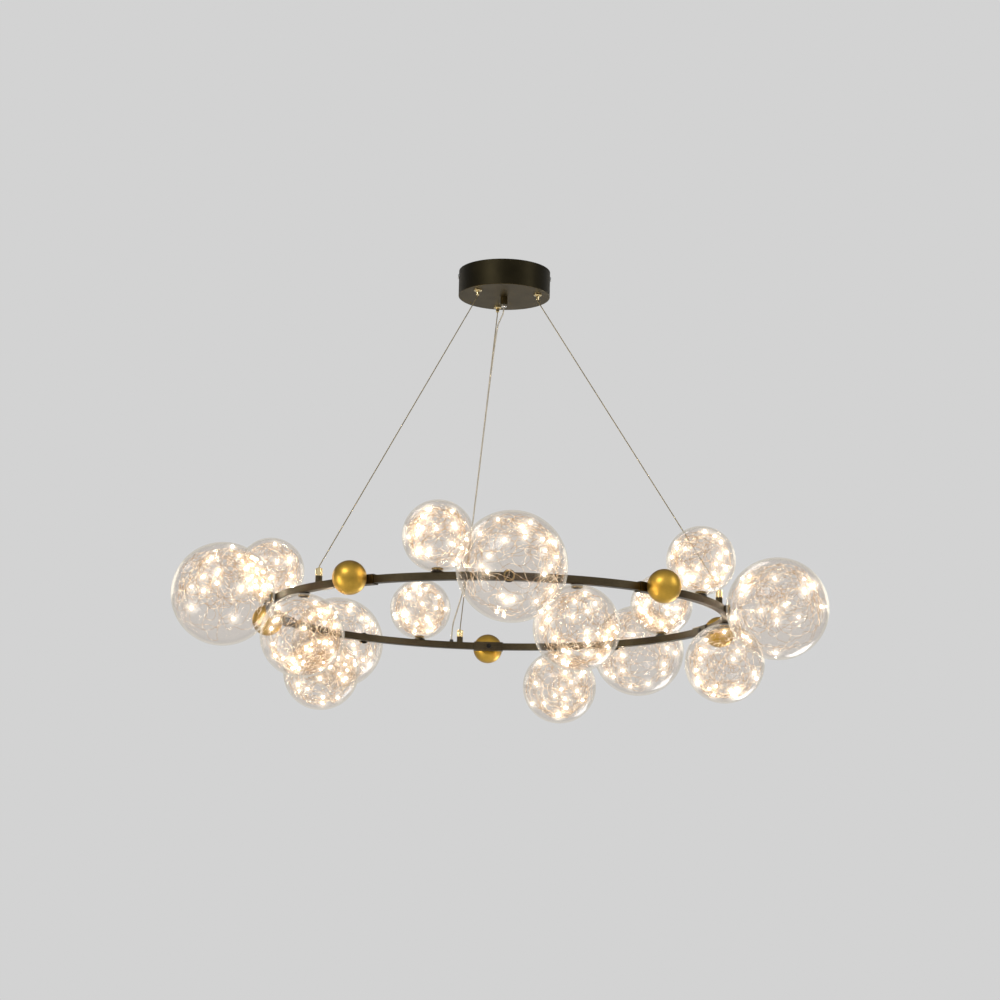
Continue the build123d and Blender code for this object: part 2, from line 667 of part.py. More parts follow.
def canopy_leads():
    azimuth, middle, _ = driver_frame()
    face = middle - DRIVER_DEPTH / 2
    turn = math.radians(azimuth)
    out = Vector(math.sin(turn), -math.cos(turn), 0)
    along = Vector(math.cos(turn), math.sin(turn), 0)
    terminal_face = CANOPY_R - TERMINAL_INSET - TERMINAL_DEPTH / 2
    terminal = at(terminal_azimuth(), terminal_face, 0)
    terminal_way = terminal.normalized()
    leads = []
    for height in LEAD_HEIGHTS:
        lift = Vector(0, 0, PLATE_TOP + height)
        start = out * face + along * LEAD_OFFSET
        # The two straight ends meet at a corner: both lines are level, so two equations do.
        span = start - terminal
        cross = out.X * terminal_way.Y - out.Y * terminal_way.X
        run = (span.X * terminal_way.Y - span.Y * terminal_way.X) / cross
        corner = start - out * run
        points = [start + lift, corner + lift, terminal + lift]
        leads.append(tube(points, LEAD_R, largest_radii(points)))
    lift = Vector(0, 0, PLATE_TOP + OUTPUT_LEAD_RISE)
    start = out * face - along * LEAD_OFFSET
    points = [
        start + lift,
        start - out * OUTPUT_LEAD_REACH + lift,
        lift,
        Vector(0, 0, GLAND_BOTTOM + GLAND_H / 2),
    ]
    leads.append(tube(points, LEAD_R, largest_radii(points)))
    return leads


# ---------------------------------------------------------------- writing the sub-parts

def main():
    os.makedirs("parts", exist_ok=True)

    for sector in range(SECTORS):
        write(f"ring_segment_{sector + 1}", ring_segment(sector))
    ball_azimuths = [sector * SECTOR + BALL_AZIMUTH for sector in range(SECTORS)]
    for number, azimuth in enumerate(ball_azimuths, 1):
        write(f"gold_ball_{number}", around(azimuth, gold_ball()))
    write("joint_sleeves", *[around(azimuth, joint_sleeve()) for azimuth in ball_azimuths])
    write("ball_screws", *[around(azimuth, ball_screw()) for azimuth in ball_azimuths])
    grubs = [around(a + turn, grub_screw()) for a in ball_azimuths for turn in grub_azimuths()]
    write("sleeve_grub_screws", *grubs)
    write("ring_wiring", *feed_wires())

    caps, gaskets, nuts = [], [], []
    sizes = {"small": SMALL_GLOBE_R, "medium": MEDIUM_GLOBE_R, "big": BIG_GLOBE_R}
    for kind, radius in sizes.items():
        shell, string = globe(radius), led_string(radius)
        cap, gasket, nut = orb_cap(radius), orb_gasket(radius), orb_lock_nut(radius)
        for number, place in enumerate(orb_places(kind), 1):
            write(f"{kind}_globe_{number}", place * shell)
            caps.append(place * cap)
            gaskets.append(place * gasket)
            nuts.append(place * nut)
        write(f"{kind}_led_strings", *[place * string for place in orb_places(kind)])
    write("orb_caps", *caps)
    write("orb_gaskets", *gaskets)
    write("orb_lock_nuts", *nuts)

    azimuths = CABLE_AZIMUTHS.values()
    write("ring_fitting_bases", *[around(azimuth, fitting_base()) for azimuth in azimuths])
    write("ring_fitting_caps", *[around(azimuth, fitting_cap()) for azimuth in azimuths])
    write("cable_ferrules", *[around(azimuth, cable_ferrule()) for azimuth in azimuths])
    write("cord_grommet", around(cord_azimuth(), grommet()))

    write("canopy_shell", canopy_shell())
    write("ceiling_bracket", ceiling_bracket())
    write("machine_screws", *machine_screws())
    write("gripper_bodies", *[around(azimuth, gripper_body()) for azimuth in azimuths])
    write("gripper_nuts", *[around(azimuth, gripper_nut()) for azimuth in azimuths])
    for name, azimuth in CABLE_AZIMUTHS.items():
        write(f"release_nipple_{name}", around(azimuth, release_nipple()))
        write(f"gripper_spring_{name}", around(azimuth, gripper_spring()))
        write(f"suspension_cable_{name}", around(azimuth, suspension_cable()))
    write("cord_gland_body", gland_body())
    write("cord_gland_cap", gland_cap())
    write("cord_gland_nut", gland_nut())
    write("power_cord", power_cord())
    write("led_driver", led_driver())
    write("terminal_block", terminal_block())
    write("canopy_leads", *canopy_leads())


main()
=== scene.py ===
"""Orb chandelier: the finishes, light strings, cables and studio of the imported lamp."""

import math

import bpy
import numpy as np
from bpy.props import FloatProperty, FloatVectorProperty, IntProperty, PointerProperty
from mathutils import Matrix, Vector


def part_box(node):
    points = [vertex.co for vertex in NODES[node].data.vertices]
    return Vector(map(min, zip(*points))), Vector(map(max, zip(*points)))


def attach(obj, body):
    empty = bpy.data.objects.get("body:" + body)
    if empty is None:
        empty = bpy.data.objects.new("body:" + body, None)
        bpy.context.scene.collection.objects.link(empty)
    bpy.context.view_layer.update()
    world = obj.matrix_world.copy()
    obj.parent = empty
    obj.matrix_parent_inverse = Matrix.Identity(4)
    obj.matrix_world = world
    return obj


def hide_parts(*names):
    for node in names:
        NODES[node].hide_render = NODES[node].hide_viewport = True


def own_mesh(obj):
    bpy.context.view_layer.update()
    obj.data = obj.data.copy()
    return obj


bl_info = {
    "name": "Orb Chandelier",
    "version": (1, 0, 0),
    "blender": (4, 5, 0),
    "location": "View3D > Sidebar > Chandelier",
    "description": "Finishes, light strings and cables of a ring chandelier with glass globes",
    "category": "Object",
}

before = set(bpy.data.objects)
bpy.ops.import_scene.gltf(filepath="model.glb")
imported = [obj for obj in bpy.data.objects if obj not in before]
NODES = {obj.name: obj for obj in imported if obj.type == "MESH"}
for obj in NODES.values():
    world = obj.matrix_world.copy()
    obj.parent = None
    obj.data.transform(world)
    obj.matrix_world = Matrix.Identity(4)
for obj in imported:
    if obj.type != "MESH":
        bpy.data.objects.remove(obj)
bpy.context.view_layer.update()

WHITE = (1.0, 1.0, 1.0)
BLACK = (0.0, 0.0, 0.0)

# Places on the lamp, in metres from its axis or from the ceiling, as the CAD model has them
RING_R = 0.3435
RING_OUTER_R = 0.349
BAR_TOP = -0.5345
BAR_MIDDLE = -0.540
BAR_BOTTOM = -0.5455
GLASS_WALL = 0.0016
WIRE_GAP = 0.0009  # least room between the light wire and the glass
NECK_FLAT = 0.001  # from its seat, a globe's middle stands this much past its radius
NUT_ROOM = 0.0076  # the lock nut and its wire hole take up this much above the seat
GLOBES = {"small": 0.050, "medium": 0.060, "big": 0.075}  # radius of each kind
SECTORS = 5  # equal parts of the ring, each with a globe of each kind and a gold ball
SMALL_TURN = -16.5  # degrees from a sector's big globe to its small one
MEDIUM_TURN = 16.0
CABLES = {"left": -50.0, "right": 68.0, "rear": 188.0}  # degrees round the axis
GRIPPER_R = 0.055
CABLE_TOP = -0.0216
NIPPLE_TIP = -0.0489
FITTING_MOUTH = -0.5130
FERRULE_END = -0.5201
PLATE_BOTTOM = -0.040  # the lower face of the canopy
PAINTED_SIDE_SHADE_FADE = (PLATE_BOTTOM + 0.0001, PLATE_BOTTOM + 0.0006)  # where the painted shade of its side begins, above the plate's painted light

# How the light wire is wound
WIRE_SIDES = 3
WIRE_SMOOTHNESS = 3
WIRE_STEP = 0.0062  # between two control points
LEAD_HEIGHTS = (0.001, 0.004, 0.007)  # points on the lead, above the seat
LEAD_RISE = 0.004  # from the lead's end to the first turn
BEND_KEPT = 0.72  # share of a bend that the next one keeps
DEPTH_KEPT, DEPTH_NEW = 0.85, 0.15  # a point's depth: shares of the last one and of a new draw
DEPTH_POWER = 0.6  # under 1, more of the wire lies near the glass
DEPTH_SHAKE = 0.10
INNERMOST = 0.50  # the wire's least distance from the middle, as a share of its reach
FIRST_REACH, WIDENING = 0.4, 6.0  # the first turn's share, and the points it takes to widen

# The beads, and the faint shells of painted glow round each
BEAD_DETAIL, GLOW_DETAIL = 3, 2
BEAD_STRETCH = 1.25
LEAD_SHARE = 0.01  # share of the wire, at its start, that has no beads
GLOW_SHELLS = ((0.27, 1.0), (0.45, 0.55), (0.70, 0.28), (1.0, 0.15))  # radius and strength

# Cables, cord and springs
ARC_STEPS = 8  # parts of each arc in a cable
BEND_ROOM = 0.0003  # straight cable between a fitting and the bend beside it
STRAND_SIDES = 6
CABLE_STRANDS = 6
CABLE_STEP = 0.001
CORES = 2
CORE_SHARE = 0.36  # a core's radius, as a share of the cord's
CORE_STEP = 0.002
CORD_SMOOTHNESS = 24
SPRING_TURNS = 5
SPRING_STEPS = 20  # points in each turn
SPRING_SIDES, CORD_SIDES = 8, 12

# The power cord's route, the same points as the CAD tube
CORD_ROUTE = (
    (0.0, 0.0, -0.04625),
    (0.0, 0.0, -0.0655),
    (-0.0036, 0.0257, -0.0670),
    (-0.0093, 0.0659, -0.0740),
    (-0.0414, 0.2946, -0.4427),
    (-0.0550, 0.3189, -0.4885),
    (-0.0616, 0.3379, -0.5105),
    (-0.0616, 0.3379, -0.5367),
)

# The studio: half the floor's side, where the lamps point, and the camera's sensor and range
FLOOR_REACH = 30.0
LAMP_MIDDLE = (0.0, 0.0, -0.5)
SENSOR_WIDTH = 36.0
CAMERA_RANGE = (0.1, 60.0)
GLASS_LAYERS = 128  # how many clear faces a ray may pass

# The studio lamps: name, place, width, height, power in watts and colour
STUDIO_LAMPS = (
    ("key", (-1.7, -2.4, 1.3), 1.6, 1.2, 34.0, WHITE),
    ("right_fill", (2.6, -1.4, 0.9), 1.0, 1.6, 16.0, WHITE),
    ("left_strip", (-2.5, -0.9, -1.3), 0.9, 1.8, 24.0, (1.0, 0.93, 0.80)),
    ("low_rim", (1.5, 1.9, -1.7), 0.9, 0.9, 15.0, WHITE),
    ("back_right", (2.0, 2.5, 0.2), 1.5, 0.8, 9.0, (1.0, 0.92, 0.76)),
    ("back_left", (-2.0, 2.5, 0.2), 1.5, 0.8, 9.0, (1.0, 0.92, 0.76)),
)


# ---------------------------------------------------------------- node trees


def pick(sockets, key):
    """A node's socket by its place, its identifier or its name."""
    if isinstance(key, int):
        return sockets[key]
    return next((s for s in sockets if s.identifier == key), None) or sockets[key]


class Flow:
    """A node's output that can be used in arithmetic."""

    def __init__(self, sketch, socket):
        self.sketch = sketch
        self.socket = socket

    def output(self, key):
        return Flow(self.sketch, pick(self.socket.node.outputs, key))

    def maths(self, operation, first, second=0.0, clamp=False):
        settings = {"operation": operation, "use_clamp": clamp}
        return self.sketch.add("ShaderNodeMath", settings, {0: first, 1: second})

    def __add__(self, other):
        return self.maths("ADD", self, other)

    __radd__ = __add__

    def __sub__(self, other):
        return self.maths("SUBTRACT", self, other)

    def __rsub__(self, other):
        return self.maths("SUBTRACT", other, self)

    def __mul__(self, other):
        return self.maths("MULTIPLY", self, other)

    __rmul__ = __mul__

    def __truediv__(self, other):
        return self.maths("DIVIDE", self, other)

    def __pow__(self, other):
        return self.maths("POWER", self, other)

    def above(self, low, high):
        """0 under low, 1 over high and a straight rise between them."""
        return self.maths("MULTIPLY", self - low, 1.0 / (high - low), clamp=True)

    def bounded(self):
        """Kept from 0 to 1."""
        return self.maths("ADD", self, 0.0, clamp=True)


class Sketch:
    """A node tree under construction. Every node comes from add()."""

    def __init__(self, tree):
        self.tree = tree

    def add(self, kind, settings=None, inputs=None, output=0):
        """A node of a kind, with its settings and the values or links of its sockets."""
        node = self.tree.nodes.new(kind)
        for key, value in (settings or {}).items():
            setattr(node, key, value)
        for key, value in (inputs or {}).items():
            self.join(value, pick(node.inputs, key))
        return Flow(self, pick(node.outputs, output)) if len(node.outputs) else node

    def join(self, value, socket):
        if isinstance(value, Flow):
            self.tree.links.new(value.socket, socket)
        else:
            socket.default_value = value


class Finish(Sketch):
    """A material, with the patterns that the lamp's finishes share."""

    def __init__(self, name):
        self.material = bpy.data.materials.new(name)
        self.material.use_nodes = True
        super().__init__(self.material.node_tree)
        self.tree.nodes.clear()

    def place(self):
        """Object coordinates, in metres."""
        return self.add("ShaderNodeTexCoord", output="Object")

    def grain(self, scale, detail, where=None):
        """Noise from 0 to 1, with this many waves in a metre."""
        where = where or self.place()
        sockets = {"Vector": where, "Scale": scale, "Detail": detail, "Roughness": 0.55}
        return self.add("ShaderNodeTexNoise", None, sockets)

    def round_the_ring(self):
        """Distance from the lamp's axis and height, so that a pattern runs round the ring."""
        axes = self.add("ShaderNodeSeparateXYZ", None, {0: self.place()})
        x, y, z = (axes.output(i) for i in range(3))
        radius = (x * x + y * y) ** 0.5
        return self.add("ShaderNodeCombineXYZ", None, {0: radius, 1: z, 2: 0.0})

    def blend(self, share, first, second):
        """A colour between two others."""
        settings = {"data_type": "RGBA"}
        inputs = {"Factor_Float": share, "A_Color": rgba(first), "B_Color": rgba(second)}
        return self.add("ShaderNodeMix", settings, inputs, "Result_Color")

    def mottled(self, pattern, colour, darker, lighter):
        """A colour that a pattern takes between a darker and a lighter shade of it."""
        return self.blend(pattern, shade(colour, darker), shade(colour, lighter))

    def slant(self):
        """0 where the surface faces the eye and 1 at its rim, for gloss and glass."""
        return self.add("ShaderNodeLayerWeight", None, {"Blend": 0.5}, "Facing")

    def clear(self, colour=WHITE):
        """Lets the light through, tinted."""
        return self.add("ShaderNodeBsdfTransparent", None, {"Color": rgba(colour)})

    def light(self, colour, strength=1.0):
        inputs = {"Color": rgba(colour), "Strength": strength}
        return self.add("ShaderNodeEmission", None, inputs)

    def mixed(self, share, first, second):
        """One shader, and another where the share is 1."""
        return self.add("ShaderNodeMixShader", None, {0: share, 1: first, 2: second})

    def bump(self, height, strength, depth):
        """Relief with a depth in metres."""
        inputs = {"Height": height, "Strength": strength, "Distance": depth}
        return self.add("ShaderNodeBump", None, inputs)

    def principled(self, **sockets):
        """The main shader. A socket's name has _ for each space."""
        named = {key.replace("_", " "): value for key, value in sockets.items()}
        return self.add("ShaderNodeBsdfPrincipled", None, named)

    def done(self, shader):
        """Ends the material in a shader."""
        self.add("ShaderNodeOutputMaterial", None, {"Surface": shader})
        return self.material


def rgba(colour):
    """A colour with an alpha of 1, or a socket as it is."""
    return colour if isinstance(colour, Flow) else (*tuple(colour)[:3], 1.0)


def shade(colour, share):
    """A colour made darker or lighter."""
    return tuple(min(1.0, c * share) for c in tuple(colour)[:3])


# ---------------------------------------------------------------- settings


def tint(name, description, default):
    """A colour."""
    texts = {"name": name, "description": description}
    limits = {"subtype": "COLOR", "size": 3, "min": 0.0, "max": 1.0}
    return FloatVectorProperty(default=default, **texts, **limits)


def size(name, description, default):
    """A length in metres."""
    texts = {"name": name, "description": description}
    return FloatProperty(default=default, unit="LENGTH", precision=5, **texts)


def amount(name, description, default, **limits):
    """A plain number from 0 up."""
    texts = {"name": name, "description": description}
    return FloatProperty(default=default, min=0.0, **texts, **limits)


def angle(name, description, degrees):
    """An angle, given in degrees."""
    texts = {"name": name, "description": description}
    return FloatProperty(default=math.radians(degrees), subtype="ANGLE", **texts)


class ORB_PG_globes(bpy.types.PropertyGroup):
    """The glass globes and what seals them."""

    clear: tint("Glass", "Light that one wall lets through", (0.972, 0.955, 0.938))
    rim: tint("Rim", "Light that comes through the glass at its rim", (0.76, 0.71, 0.64))
    cap: tint("Caps", "Colour of the turned caps", (0.050, 0.038, 0.026))
    nut: tint("Lock nuts", "Colour of the ring nuts in the glass", (0.40, 0.29, 0.13))
    seal: tint("Seals", "Colour of the washers and the grommet", (0.030, 0.028, 0.026))
    # Painted highlight: the glow that the glass rim gives off, and its share
    painted_rim_glow: tint("Edge light", "Bead light that the rim gives off", (1.0, 0.93, 0.80))
    gloss: amount("Gloss", "Roughness of the glass", 0.10, max=1.0)
    painted_rim_glow_share: amount("Edge share", "Share of the edge light", 0.26)


class ORB_PG_lights(bpy.types.PropertyGroup):
    """The strings of light wire in the globes."""

    wire_radius: size("Wire radius", "Half the thickness of the light wire", 0.00028)
    bead_radius: size("Bead radius", "Half the width of a light bead", 0.0020)
    small_length: size("Small length", "Wire in each small globe", 8.0)
    medium_length: size("Medium length", "Wire in each medium globe", 10.0)
    big_length: size("Big length", "Wire in each big globe", 11.0)
    crinkle: amount("Crinkle", "How sharply the wire wanders", 0.30)
    lean: FloatProperty(
        name="Lean", description="How far the big globes' wire keeps to the top", default=0.008
    )
    halo: amount("Halo", "Strength of the glow round each bead", 0.23)
    halo_radius: size("Halo radius", "How far the glow reaches from a bead", 0.0125)
    beads: IntProperty(
        name="Beads", description="Light beads on each wire", default=23, min=1, max=200
    )
    seed: IntProperty(name="Seed", description="Picks how the wires lie", default=7)
    glow: tint("Glow", "Colour of the light", (1.0, 0.87, 0.68))
    strength: amount("Strength", "Strength of the light", 40.0)
    wire: tint("Wire", "Colour of the enamelled wire", (0.50, 0.31, 0.15))
    # Painted highlight and painted glow of the wire, not light from a lamp
    painted_glint: tint("Glint", "Light that the wire throws back near a bead", (1.0, 0.90, 0.72))
    lit: amount("Lit wire", "Strength of the light on the wire", 0.82)


class ORB_PG_metals(bpy.types.PropertyGroup):
    """The colours of the metal pieces."""

    bronze: tint("Ring bronze", "Dark brushed bronze of the ring", (0.050, 0.038, 0.021))
    gold: tint("Satin gold", "The gold balls", (0.57, 0.345, 0.055))
    brass: tint("Brass", "Grippers, nipples and ring fittings", (0.80, 0.66, 0.38))
    black: tint("Canopy black", "The canopy's side and the gland", (0.030, 0.024, 0.011))
    # Painted light: the plate's olive brown stands for the light that falls on it from below
    plate: tint("Canopy plate", "The canopy's face, seen from below", (0.088, 0.064, 0.024))
    chrome: tint("Chrome", "The gland's cap", (0.74, 0.73, 0.71))
    zinc: tint("Zinc", "The bracket, nuts and machine screws", (0.52, 0.53, 0.54))
    screws: tint("Black screws", "The screws of the ring", (0.030, 0.028, 0.026))
    steel: tint("Spring steel", "Springs and ferrules", (0.42, 0.41, 0.39))


class ORB_PG_cables(bpy.types.PropertyGroup):
    """The suspension cables, springs and the power cord."""

    cable_radius: size("Cable radius", "Half the thickness of a suspension cable", 0.0008)
    lay: size("Cable lay", "Length in which the strands go round once", 0.011)
    bend_radius: size("Cable bend", "Radius of the bend beside each fitting", 0.005)
    cord_radius: size("Cord radius", "Half the thickness of the power cord", 0.0012)
    cord_length: size("Cord length", "Real length of the power cord", 0.622)
    core_lay: size("Core lay", "Length in which the cord's cores go round once", 0.020)
    spring_radius: size("Spring radius", "Half the width of a gripper spring", 0.0031)
    spring_wire: size("Spring wire", "Half the thickness of the spring wire", 0.00025)
    cable: tint("Cable", "Colour of the cables", (0.38, 0.31, 0.18))
    cores: tint("Cores", "Colour of the cord's tinned cores", (0.62, 0.58, 0.50))


class ORB_PG_plastics(bpy.types.PropertyGroup):
    """The plastics in the canopy and the ring."""

    driver: tint("Driver", "The driver's case", (0.78, 0.77, 0.74))
    terminal: tint("Terminal", "The terminal block", (0.66, 0.64, 0.58))
    lead: tint("Leads", "Sheath of the leads", (0.60, 0.59, 0.56))
    feed: tint("Feed wires", "Sheath of the wires in the ring's tube", (0.45, 0.10, 0.05))


class ORB_PG_stage(bpy.types.PropertyGroup):
    """The studio and the camera."""

    backdrop: tint("Backdrop", "What stands behind the lamp", (0.651, 0.651, 0.651))
    floor: tint("Floor", "Colour of the floor", (0.92, 0.92, 0.91))
    floor_drop: size("Floor drop", "Ceiling to the floor", 2.4)
    fill: amount("Fill", "Light from all round", 0.50)
    dim: amount("Dim", "How dark mirrors see the far side", 0.75, max=1.0)
    camera_distance: size("Camera distance", "Camera to the lamp's axis", 3.4187)
    camera_drop: size("Camera drop", "Ceiling to the camera", 1.0703)
    camera_azimuth: angle("Azimuth", "Camera round the lamp", -2.370)
    camera_pitch: angle("Pitch", "How far up the camera looks", 11.698)
    camera_roll: angle("Roll", "Camera's lean", 1.172)
    camera_lens: FloatProperty(
        name="Lens", description="Focal length in millimetres", default=82.28, min=10.0
    )


class ORB_PG_lamp(bpy.types.PropertyGroup):
    """All settings of the lamp."""

    globes: PointerProperty(type=ORB_PG_globes)
    lights: PointerProperty(type=ORB_PG_lights)
    metals: PointerProperty(type=ORB_PG_metals)
    cables: PointerProperty(type=ORB_PG_cables)
    plastics: PointerProperty(type=ORB_PG_plastics)
    stage: PointerProperty(type=ORB_PG_stage)


# ---------------------------------------------------------------- finishes


def turned_metal(name, colour, rough, scale=900.0, wear=0.25):
    """Machined or plated metal: fine grain, faint cloudiness in colour and polish."""
    f = Finish(name)
    fine = f.grain(scale, detail=2.0)
    cloud = f.grain(scale / 18.0, detail=4.0)
    base = f.mottled(cloud.above(0.3, 0.75), colour, darker=1.0 - wear, lighter=1.0 + wear * 0.6)
    polish = cloud * (rough * 0.5) + fine * (rough * 0.3) + rough * 0.6
    bump = f.bump(fine, strength=0.25, depth=0.00002)
    return f.done(f.principled(Base_Color=base, Metallic=1.0, Roughness=polish, Normal=bump))


def ring_bronze(colour):
    """Dark bronze brushed along the ring."""
    f = Finish("ring_bronze")
    lines = f.grain(2600.0, detail=2.0, where=f.round_the_ring())
    cloud = f.grain(22.0, detail=5.0)
    spots = f.grain(240.0, detail=3.0)
    share = (lines * 0.45 + cloud * 0.4 + spots * 0.15).above(0.32, 0.68)
    base = f.mottled(share, colour, darker=0.62, lighter=1.9)
    polish = lines * 0.16 + cloud * 0.10 + 0.24
    bump = f.bump(lines * 0.8 + spots * 0.2, strength=0.35, depth=0.00004)
    return f.done(f.principled(Base_Color=base, Metallic=0.92, Roughness=polish, Normal=bump))


def satin_gold(colour):
    """Gold plate with a fine satin grain."""
    f = Finish("satin_gold")
    fine = f.grain(2400.0, detail=2.0)
    cloud = f.grain(55.0, detail=4.0)
    base = f.mottled(cloud.above(0.3, 0.7), colour, darker=0.80, lighter=1.15)
    polish = cloud * 0.10 + fine * 0.10 + 0.27
    bump = f.bump(fine, strength=0.18, depth=0.00003)
    return f.done(f.principled(Base_Color=base, Metallic=1.0, Roughness=polish, Normal=bump))


def canopy_black(black, plate):
    """Spun metal under lacquer, nearly black, with painted shade round the side and painted
    light, olive brown, on the plate below.
    """
    f = Finish("canopy_black")
    rings = f.grain(900.0, detail=2.0, where=f.round_the_ring())
    peel = f.grain(420.0, detail=2.0)
    cloud = f.grain(30.0, detail=4.0)
    height = f.add("ShaderNodeSeparateXYZ", None, {0: f.place()}, "Z")
    # Painted light and shade: the plate below lighter and the side darker, by height
    painted_plate_light_side_shade = f.blend(height.above(*PAINTED_SIDE_SHADE_FADE), plate, shade(black, 0.5))
    base = f.blend(cloud.above(0.3, 0.7) * 0.4, painted_plate_light_side_shade, shade(black, 1.2))
    polish = rings * 0.10 + cloud * 0.10 + 0.34
    bump = f.bump(rings * 0.6 + peel * 0.4, strength=0.25, depth=0.00004)
    return f.done(f.principled(Base_Color=base, Metallic=0.95, Roughness=polish, Normal=bump))


def clear_glass(look):
    """Blown glass with a little grey-brown in it: darker and mirroring at its rim, with a
    painted highlight of bead light on the rim.
    """
    f = Finish("clear_glass")
    slant = f.slant()
    seen = f.mixed(slant.above(0.84, 1.0), f.clear(look.clear), f.clear(look.rim))
    sockets = {"Color": rgba(WHITE), "Roughness": look.gloss}
    shine = f.add("ShaderNodeBsdfGlossy", None, sockets)
    glass = f.mixed((slant ** 5.0 * 0.50 + 0.014).bounded(), seen, shine)
    # Painted highlight: emission on the glass where it turns away, standing for bead light
    painted_rim_glow_mask = slant.above(0.70, 0.93) * look.painted_rim_glow_share
    return f.done(f.mixed(painted_rim_glow_mask, glass, f.light(look.painted_rim_glow)))


def soft_rubber(name, colour):
    """Matt silicone rubber with a dusty grain."""
    f = Finish(name)
    fine = f.grain(1500.0, detail=2.0)
    base = f.mottled(fine, colour, darker=0.8, lighter=1.3)
    bump = f.bump(fine, strength=0.3, depth=0.00003)
    return f.done(f.principled(Base_Color=base, Roughness=fine * 0.15 + 0.45, Normal=bump))


def moulded_plastic(name, colour, rough=0.42):
    """Injection-moulded plastic with a fine spark-eroded texture."""
    f = Finish(name)
    pits = f.grain(1900.0, detail=3.0)
    cloud = f.grain(45.0, detail=3.0)
    base = f.mottled(cloud.above(0.35, 0.65), colour, darker=0.95, lighter=1.03)
    polish = pits * 0.14 + (rough - 0.07)
    bump = f.bump(pits, strength=0.25, depth=0.00004)
    return f.done(f.principled(Base_Color=base, Roughness=polish, Normal=bump))


def clear_sheath():
    """The power cord's clear sheath, hazy and whitish at its rim."""
    f = Finish("clear_cord")
    haze = f.grain(300.0, detail=3.0)
    skin = f.principled(Base_Color=rgba((0.72, 0.69, 0.62)), Roughness=haze * 0.1 + 0.18)
    share = (f.slant() ** 2.0 * 0.55 + haze * 0.10 + 0.08).bounded()
    return f.done(f.mixed(share, f.clear((0.93, 0.91, 0.87)), skin))


def light_bead(look):
    """A lit bead: a warm white glow, a little uneven."""
    f = Finish("light_bead")
    glow = f.blend(f.grain(420.0, detail=2.0), shade(look.glow, 0.9), look.glow)
    sockets = {"Base_Color": rgba((0.85, 0.78, 0.62)), "Roughness": 0.25}
    return f.done(f.principled(Emission_Color=glow, Emission_Strength=look.strength, **sockets))


def bead_glow(name, colour, strength):
    """Painted glow round a bead, a faint shell of light: it adds to what is seen through it."""
    f = Finish(name)
    both = {0: f.clear(), 1: f.light(colour, strength)}
    return f.done(f.add("ShaderNodeAddShader", None, both))


def enamelled_wire(look):
    """Enamelled copper wire with painted light: it glows all along, with painted highlights in
    random patches that stand for bead light.
    """
    f = Finish("light_wire")
    fine = f.grain(130.0, detail=2.0)
    # Painted highlights: in random patches the wire's colour is lighter and its glow stronger
    painted_glint_patch = fine.above(0.50, 0.64)
    base = f.blend(painted_glint_patch, shade(look.wire, 0.80), (1.0, 0.86, 0.64))
    # Painted glow: the whole wire gives off light, dim brown outside the patches
    light = f.blend(painted_glint_patch, shade(look.wire, 0.50), look.painted_glint)
    sockets = {"Base_Color": base, "Metallic": 0.7, "Roughness": fine * 0.15 + 0.22}
    return f.done(f.principled(Emission_Color=light, Emission_Strength=look.lit, **sockets))


def five(name):
    """The names of the five nodes of a kind, one in each sector."""
    return [f"{name}_{number}" for number in range(1, SECTORS + 1)]


def dress(slot_name, material, *nodes):
    """Puts a finish on CAD nodes that stay."""
    for node in nodes:
        piece = NODES[node]
        piece.data.materials.clear()
        piece.data.materials.append(material)


# ---------------------------------------------------------------- grown pieces


class Growth(Sketch):
    """A geometry node tree with named inputs. It takes a line and ends in one plain mesh."""

    def __init__(self, name, sizes):
        tree = bpy.data.node_groups.new(name, "GeometryNodeTree")
        super().__init__(tree)
        tree.interface.new_socket("Geometry", in_out="INPUT", socket_type="NodeSocketGeometry")
        for label, kind in sizes.items():
            tree.interface.new_socket(label, in_out="INPUT", socket_type="NodeSocket" + kind)
        tree.interface.new_socket("Geometry", in_out="OUTPUT", socket_type="NodeSocketGeometry")
        self.start = self.add("NodeGroupInput")

    def done(self, geometry):
        """Ends the tree with real faces in one material."""
        smooth = self.add("GeometryNodeSetShadeSmooth", None, {"Geometry": geometry})
        real = self.add("GeometryNodeRealizeInstances", None, {0: smooth})
        inputs = {"Geometry": real, "Material": self.start.output("Material")}
        painted = self.add("GeometryNodeSetMaterial", None, inputs)
        self.add("NodeGroupOutput", None, {0: painted})
        return self.tree


def round_wire_tree():
    """A round wire along every line."""
    g = Growth("Round wire", {"Radius": "Float", "Sides": "Int", "Material": "Material"})
    sizes = {"Resolution": g.start.output("Sides"), "Radius": g.start.output("Radius")}
    profile = g.add("GeometryNodeCurvePrimitiveCircle", None, sizes)
    lines = {"Curve": g.start, "Profile Curve": profile, "Fill Caps": True}
    return g.done(g.add("GeometryNodeCurveToMesh", None, lines))


